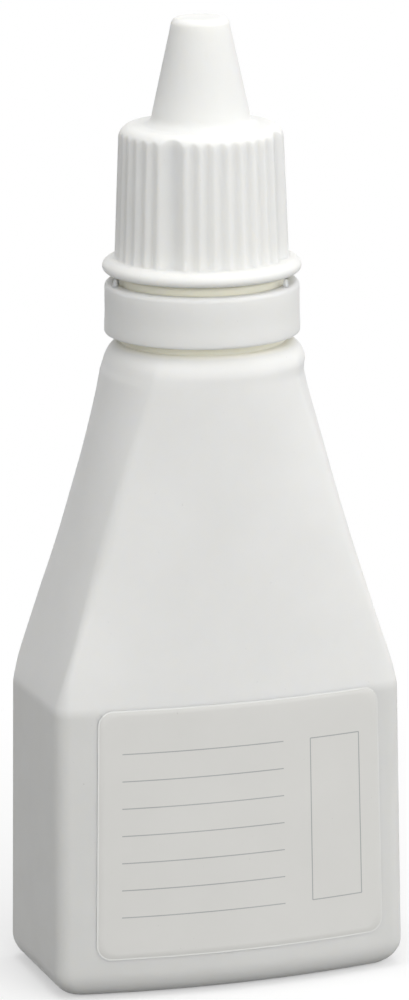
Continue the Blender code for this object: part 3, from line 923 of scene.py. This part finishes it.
def skirt_radius_at(height):
    return SKIRT_RADIUS + (SKIRT_TOP - height) * math.tan(SKIRT_DRAFT)


def nose_radius_at(height):
    return nozzle_radius_at(height) + NOSE_CLEARANCE + NOSE_WALL


def flute_share(place):
    """Share of a flute's depth at a place across it: narrow ribs between wide hollows."""
    return ((1 - math.cos(math.tau * place)) / 2) ** FLUTE_FULLNESS


def flute_depths():
    """Depth of the fluting at each column: fine flutes with four wider finger scallops."""
    depths = []
    for _ in range(SCALLOPS):
        wide = SCALLOP_PITCHES * PITCH_COLUMNS
        depths += [SCALLOP_DEPTH * flute_share(column / wide) for column in range(wide)]
        fine = (PITCHES // SCALLOPS - SCALLOP_PITCHES) * PITCH_COLUMNS
        depths += [FLUTE_DEPTH * flute_share(column / PITCH_COLUMNS % 1) for column in range(fine)]
    return depths


def soft_least(first, second, softness):
    """The lesser of two numbers, with a soft change from one to the other."""
    near = max(softness - abs(first - second), 0) / softness
    return min(first, second) - near * near * softness / 4


DEPTHS = flute_depths()
FIRST_COLUMN = SCALLOP_TURN - math.tau * SCALLOP_PITCHES / PITCHES / 2
COLUMN_ANGLES = [FIRST_COLUMN + math.tau * column / len(DEPTHS) for column in range(len(DEPTHS))]


def plain(radius, height, angles=COLUMN_ANGLES):
    """A round loop of the cap, with its points at the flutes' columns."""
    return [polar(radius, angle, height) for angle in angles]


def fluted(base, height, ledge=0.0):
    """A loop of the skirt: the fluting cut into a base radius, and set out by a ledge."""
    loop = []
    for angle, depth in zip(COLUMN_ANGLES, DEPTHS):
        radius = soft_least(base, skirt_radius_at(height) - depth, FLUTE_SOFTNESS)
        loop.append(polar(radius + ledge, angle, height))
    return loop


def nose_loops():
    """From the middle of the nose's tip down its cone and out along the fillet at its foot."""
    tip = NOSE_TOP - NOSE_TIP_ROUNDING
    tip_centre = nose_radius_at(tip) - NOSE_TIP_ROUNDING
    loops = [plain(tip_centre * share, NOSE_TOP) for share in NOSE_TIP_SHARES]
    for angle in spread(QUARTER, NOSE_TIP_END, 12):
        radius = tip_centre + NOSE_TIP_ROUNDING * math.cos(angle)
        loops.append(plain(radius, tip + NOSE_TIP_ROUNDING * math.sin(angle)))
    fillet = CAP_SHOULDER + NOSE_FILLET
    fillet_centre = nose_radius_at(fillet) + NOSE_FILLET
    for height in spread(tip - NOSE_START_GAP, fillet + NOSE_END_GAP, 10):
        loops.append(plain(nose_radius_at(height), height))
    for angle in spread(math.pi, QUARTER * 3, 12):
        radius = fillet_centre + NOSE_FILLET * math.cos(angle)
        loops.append(plain(radius, fillet + NOSE_FILLET * math.sin(angle)))
    return loops


def skirt_loops():
    """Over the rounded shoulder and down the fluted skirt to its fillet on the flange."""
    loops = []
    centre = SKIRT_RADIUS - SKIRT_ROUNDING
    for angle in spread(QUARTER, 0, 24):
        height = SKIRT_TOP + SKIRT_ROUNDING * math.sin(angle)
        loops.append(fluted(centre + SKIRT_ROUNDING * math.cos(angle), height))
    for height in spread(SKIRT_TOP, FLUTE_FOOT, 10)[1:]:
        loops.append(fluted(skirt_radius_at(height), height))
    for rise, ledge in FLUTE_FILLET:
        height = FLANGE_TOP + rise * MM
        loops.append(fluted(skirt_radius_at(height), height, ledge * MM))
    return loops


def flange_loops():
    """Around the rolled flange, to its flat foot."""
    loops = []
    root = skirt_radius_at(FLANGE_TOP)
    for angle in spread(FLANGE_START, 0, 10):
        height = FLANGE_MIDDLE + (FLANGE_TOP - FLANGE_MIDDLE) * math.sin(angle)
        loops.append(plain(root + FLANGE_REACH * math.cos(angle), height))
    for angle in spread(0, QUARTER, 10)[1:]:
        radius = root + FLANGE_FLAT + (FLANGE_REACH - FLANGE_FLAT) * math.cos(angle)
        loops.append(plain(radius, FLANGE_MIDDLE - (FLANGE_MIDDLE - CAP_BOTTOM) * math.sin(angle)))
    return loops


def cap_inside_loops():
    """Up the inside: counterbore, threaded wall, ceiling, the nose's hollow and its pin."""
    ceiling_radius = nose_radius_at(NOSE_CEILING) - NOSE_WALL - NOSE_TIP_ROUNDING
    profile = [
        (skirt_radius_at(FLANGE_TOP) + FLANGE_FLAT, CAP_BOTTOM, 0),
        (CAP_INNER + COUNTERBORE_STEP, CAP_BOTTOM, SLIGHT),
        (CAP_INNER + COUNTERBORE_STEP, COUNTERBORE_TOP, TIGHT),
        (CAP_INNER, COUNTERBORE_TOP + COUNTERBORE_STEP, TIGHT),
        (CAP_INNER, CAP_CEILING, BROAD),
        (nose_radius_at(CAP_CEILING) - NOSE_WALL, CAP_CEILING, SOFT),
        (nose_radius_at(NOZZLE_TIP) - NOSE_WALL, NOZZLE_TIP, SOFT),
        (ceiling_radius, NOSE_CEILING, SOFT),
        (PIN_RADIUS, NOSE_CEILING, SOFT),
        (PIN_RADIUS, PIN_TIP, TIGHT),
        (PIN_TIP_RADIUS, PIN_TIP, 0),
    ]
    return [plain(radius, height, COLUMN_ANGLES[::3]) for radius, height in rounded(profile)[1:]]


def make_cap():
    """The cap as one closed shell, from the tip of its nose down and back up its inside."""
    return shell_mesh(nose_loops() + skirt_loops() + flange_loops() + cap_inside_loops())


finish_piece("cap", make_cap(), cap_plastic, "cap", "cap_white", "screw_cap")


# Label

# Film, cut edge and print: heights off the body's face, half widths, and places on the label
FILM_FOOT = -0.02 * MM
FILM_FACE = 0.065 * MM
FILM_BEVEL = 0.05 * MM
CUT_FACE = 0.072 * MM
CUT_HALF_WIDTH = 0.08 * MM
INK_FOOT = 0.055 * MM
INK_FACE = 0.075 * MM
RULE_HALF_WIDTH = 0.06 * MM
RULE_COUNT = 7
RULE_FOOT = 10.2 * MM
RULE_SPACING = 3.35 * MM
RULE_LEFT = -15.2 * MM
RULE_RIGHT = 5.2 * MM
BOX_LEFT = 8.8 * MM
BOX_RIGHT = 15.4 * MM
BOX_FOOT = 10.2 * MM
BOX_TOP = 30.3 * MM
LONGEST_EDGE = 1.2 * MM
LABEL_RING_SHARES = [0.02, *spread(0.1, 1, 18)]
BEVEL_SHARE = 0.6
TOP_CUT_SHARE = 0.4


def face_place(across, height, stand_off):
    """A point off the bowed front face, square to it."""
    bow = bow_radius_at(height)
    angle = math.asin(across / bow)
    radius = bow + stand_off
    depth = bow - half_depth_at(height) - radius * math.cos(angle)
    return Vector((radius * math.sin(angle), depth, height))


def label_outline(margin):
    """Closed outline of the label as (across, height) places, moved in by a margin."""
    points = []
    half = LABEL_WIDTH / 2 - margin
    bottom = LABEL_BOTTOM + margin
    top = LABEL_TOP - margin
    corner = LABEL_CORNER - margin
    corners = ((1, bottom, -QUARTER), (1, top, 0), (-1, top, QUARTER), (-1, bottom, math.pi))
    for side, edge, first in corners:
        inward = 1 if edge == bottom else -1
        for angle in spread(first, first + QUARTER, 8):
            across = side * (half - corner) + corner * math.cos(angle)
            points.append((across, edge + inward * corner + corner * math.sin(angle)))
    return points


def densify(outline):
    """Adds points along an outline's long edges."""
    points = []
    for index, (across, height) in enumerate(outline):
        far_across, far_height = outline[(index + 1) % len(outline)]
        length = math.hypot(far_across - across, far_height - height)
        count = max(1, math.ceil(length / LONGEST_EDGE))
        for step in range(count):
            share = step / count
            points.append((blend(across, far_across, share), blend(height, far_height, share)))
    return points


def label_point(across, height, stand_off):
    """A point of the label, which narrows a little towards its top."""
    climb = (height - LABEL_BOTTOM) / (LABEL_TOP - LABEL_BOTTOM)
    narrowing = blend(1, LABEL_TOP_WIDTH / LABEL_WIDTH, climb)
    return face_place(LABEL_SHIFT + across * narrowing, height, stand_off)


def make_label():
    """The label as a thin film with a rounded edge, meshed as rings inside its outline."""
    centre_height = (LABEL_BOTTOM + LABEL_TOP) / 2
    edge = densify(label_outline(0))
    face = densify(label_outline(FILM_BEVEL))

    def shrunk(outline, share, stand_off):
        loop = []
        for across, height in outline:
            level = centre_height + (height - centre_height) * share
            loop.append(label_point(across * share, level, stand_off))
        return loop

    bevel_foot = blend(FILM_FOOT, FILM_FACE, BEVEL_SHARE)
    loops = [shrunk(edge, share, FILM_FOOT) for share in LABEL_RING_SHARES]
    loops.append([label_point(across, height, bevel_foot) for across, height in edge])
    loops += [shrunk(face, share, FILM_FACE) for share in LABEL_RING_SHARES[::-1]]
    return shell_mesh(loops)


def make_strip(mesh, places, half_width, low, high):
    """A thin closed strip along a path on the label, given as (across, height) places."""
    rows = []
    for index, (across, height) in enumerate(places):
        last = places[min(index + 1, len(places) - 1)]
        first = places[max(index - 1, 0)]
        along = Vector((last[0] - first[0], last[1] - first[1])).normalized() * half_width
        row = []
        for side, off in ((1, low), (1, high), (-1, high), (-1, low)):
            point = label_point(across - side * along.y, height + side * along.x, off)
            row.append(mesh.verts.new(point))
        rows.append(row)
    for first, second in zip(rows, rows[1:]):
        join_rows(mesh, first, second)
    mesh.faces.new(rows[0])
    mesh.faces.new(rows[-1])


def make_label_cut(top):
    """Painted highlight on the film's cut edge: along its top, or along its sides and foot."""
    mesh = bmesh.new()
    places = densify(label_outline(FILM_BEVEL))
    split = LABEL_TOP - TOP_CUT_SHARE * LABEL_CORNER
    wanted = [(height > split) == top for _, height in places]
    start = next(index for index, here in enumerate(wanted) if here and not wanted[index - 1])
    order = [(start + step) % len(places) for step in range(len(places))]
    run = [places[index] for index in order if wanted[index]]
    if not top:
        run = [places[start - 1], *run]
    make_strip(mesh, run, CUT_HALF_WIDTH, FILM_FOOT, CUT_FACE)
    return mesh


def make_rules():
    """Blank ruled lines and an empty frame, where the real label carries its small print."""
    mesh = bmesh.new()
    for index in range(RULE_COUNT):
        height = RULE_FOOT + RULE_SPACING * index
        places = [(across, height) for across in spread(RULE_LEFT, RULE_RIGHT, 24)]
        make_strip(mesh, places, RULE_HALF_WIDTH, INK_FOOT, INK_FACE)
    box = [(BOX_LEFT, BOX_FOOT), (BOX_RIGHT, BOX_FOOT), (BOX_RIGHT, BOX_TOP), (BOX_LEFT, BOX_TOP)]
    for first, last in zip(box, box[1:] + box[:1]):
        across = spread(first[0], last[0], 16)
        heights = spread(first[1], last[1], 16)
        make_strip(mesh, list(zip(across, heights)), RULE_HALF_WIDTH, INK_FOOT, INK_FACE)
    return mesh


finish_piece("label_sheet", make_label(), label_film, "bottle", "label_film", "label")
# The label's cut edges carry painted highlights, brightest along the top
finish_piece("label_top_edge_highlight", make_label_cut(True), label_top_highlight, "bottle", "label_film")
finish_piece("label_side_edge_highlight", make_label_cut(False), label_side_edge_highlight, "bottle", "label_film")
finish_piece("label_rules", make_rules(), label_ink, "bottle", "label_film")


# Floor, world, lamps, camera


def sees_background(tree):
    """1 for camera, glossy and transmission rays, which see the plain white, and 0 for others."""
    path = tree.nodes.new("ShaderNodeLightPath")
    total = path.outputs["Is Camera Ray"]
    for ray in ("Is Glossy Ray", "Is Transmission Ray"):
        added = tree.nodes.new("ShaderNodeMath")
        added.use_clamp = True
        tree.links.new(total, added.inputs[0])
        tree.links.new(path.outputs[ray], added.inputs[1])
        total = added.outputs["Value"]
    return total


PAPER_NOISE = (40, 3, 0.5)
PAPER_SHADE = (0.19, 0.19, 0.19)
PAPER_COLOUR = (0.21, 0.21, 0.21)
FLOOR_RADIUS = 4.0

# The seen floor is this white by itself near the bottle, and all white past the shadow's end
NEAR_WHITE_SHARE = 0.4
SHADOW_START = 20 * MM
SHADOW_END = 120 * MM


def floor_material():
    """Grey paper to the light that meets the bottle, and white with a shadow on it when seen."""
    shader = Shader("floor_white")
    tree = shader.tree
    tree.nodes.remove(shader.principled)
    output = tree.nodes["Material Output"]
    paper = shader.node("ShaderNodeBsdfDiffuse")
    grain = shader.noise(*PAPER_NOISE)
    tones = shader.colours(grain, (MOTTLE_START, PAPER_SHADE), (MOTTLE_END, PAPER_COLOUR))
    shader.link(tones, paper.inputs["Color"])
    near = shader.node("ShaderNodeBsdfDiffuse")
    near.inputs["Color"].default_value = (1, 1, 1, 1)
    white = shader.node("ShaderNodeEmission")
    white.inputs["Color"].default_value = (1, 1, 1, 1)
    distance = shader.node("ShaderNodeVectorMath", operation="LENGTH")
    shader.link(shader.place, distance.inputs[0])
    fade = shader.remap(distance.outputs["Value"], NEAR_WHITE_SHARE, 1, SHADOW_START, SHADOW_END)
    seen = shader.node("ShaderNodeMixShader")
    shader.link(fade, seen.inputs["Fac"])
    shader.link(near.outputs["BSDF"], seen.inputs[1])
    shader.link(white.outputs["Emission"], seen.inputs[2])
    mixed = shader.node("ShaderNodeMixShader")
    shader.link(sees_background(tree), mixed.inputs["Fac"])
    shader.link(paper.outputs["BSDF"], mixed.inputs[1])
    shader.link(seen.outputs["Shader"], mixed.inputs[2])
    shader.link(mixed.outputs["Shader"], output.inputs["Surface"])
    return shader.material


def make_floor():
    mesh = bmesh.new()
    bmesh.ops.create_circle(mesh, cap_ends=True, segments=96, radius=FLOOR_RADIUS)
    data = bpy.data.meshes.new("floor")
    mesh.to_mesh(data)
    mesh.free()
    data.materials.append(floor_material())
    floor = bpy.data.objects.new("floor", data)
    bpy.context.scene.collection.objects.link(floor)


make_floor()


# Strength of the world as a soft fill, and as the background
AMBIENT = 0.35
BACKDROP = 1.0


def make_world():
    """A plain white world: a soft fill for the light, and the white of the background."""
    world = bpy.data.worlds.new("studio")
    bpy.context.scene.world = world
    world.use_nodes = True
    tree = world.node_tree
    background = tree.nodes["Background"]
    strength = tree.nodes.new("ShaderNodeMapRange")
    strength.inputs["To Min"].default_value = AMBIENT
    strength.inputs["To Max"].default_value = BACKDROP
    tree.links.new(sees_background(tree), strength.inputs["Value"])
    tree.links.new(strength.outputs["Result"], background.inputs["Strength"])
    background.inputs["Color"].default_value = (1, 1, 1, 1)


AIM = Vector((0, 0, 58 * MM))

# Lamps, each as (name, azimuth, elevation, distance, size, power in watts)
LAMPS = (
    ("front", 0, 10, 1.0, 1.4, 12.6),
    ("right", 75, 15, 1.0, 1.2, 4.9),
    ("left", -80, 15, 1.0, 1.2, 2.2),
    ("top", 0, 88, 0.35, 0.3, 0.58),
)


def softbox(name, azimuth, elevation, distance, size, power):
    """A square lamp aimed at the bottle. Azimuth 0 is in front of the label, and 90 is at +X."""
    data = bpy.data.lights.new(name, "AREA")
    data.energy = power
    data.size = size
    lamp = bpy.data.objects.new(name, data)
    turn = math.radians(azimuth)
    rise = math.radians(elevation)
    level = math.cos(rise)
    away = Vector((math.sin(turn) * level, -math.cos(turn) * level, math.sin(rise)))
    lamp.location = AIM + away * distance
    lamp.rotation_euler = away.to_track_quat("Z", "Y").to_euler()
    bpy.context.scene.collection.objects.link(lamp)


make_world()
for lamp in LAMPS:
    softbox(*lamp)


def make_camera():
    """The camera that the photograph's outlines were fitted with."""
    azimuth = -0.322
    pitch = 0.2303
    roll = -0.0067
    distance = 0.71883
    shift_right = 0.0001353
    shift_down = 0.0003581
    right = Vector((math.cos(azimuth), math.sin(azimuth), 0))
    ahead = Vector((-math.sin(azimuth), math.cos(azimuth), 0))
    upright = Vector((0, 0, 1))
    forward = ahead * math.cos(pitch) - upright * math.sin(pitch)
    up = upright * math.cos(pitch) + ahead * math.sin(pitch)
    across = right * math.cos(roll) + up * math.sin(roll)
    over = up * math.cos(roll) - right * math.sin(roll)
    place = AIM - forward * distance + across * shift_right - over * shift_down
    data = bpy.data.cameras.new("camera")
    data.sensor_fit = "VERTICAL"
    data.sensor_height = 24
    data.lens = 144
    data.clip_start = 0.01
    data.clip_end = 20
    camera = bpy.data.objects.new("camera", data)
    camera.matrix_world = Matrix((across, over, -forward)).transposed().to_4x4()
    camera.location = place
    bpy.context.scene.collection.objects.link(camera)
    bpy.context.scene.camera = camera


make_camera()
bpy.context.scene.view_settings.view_transform = "Standard"
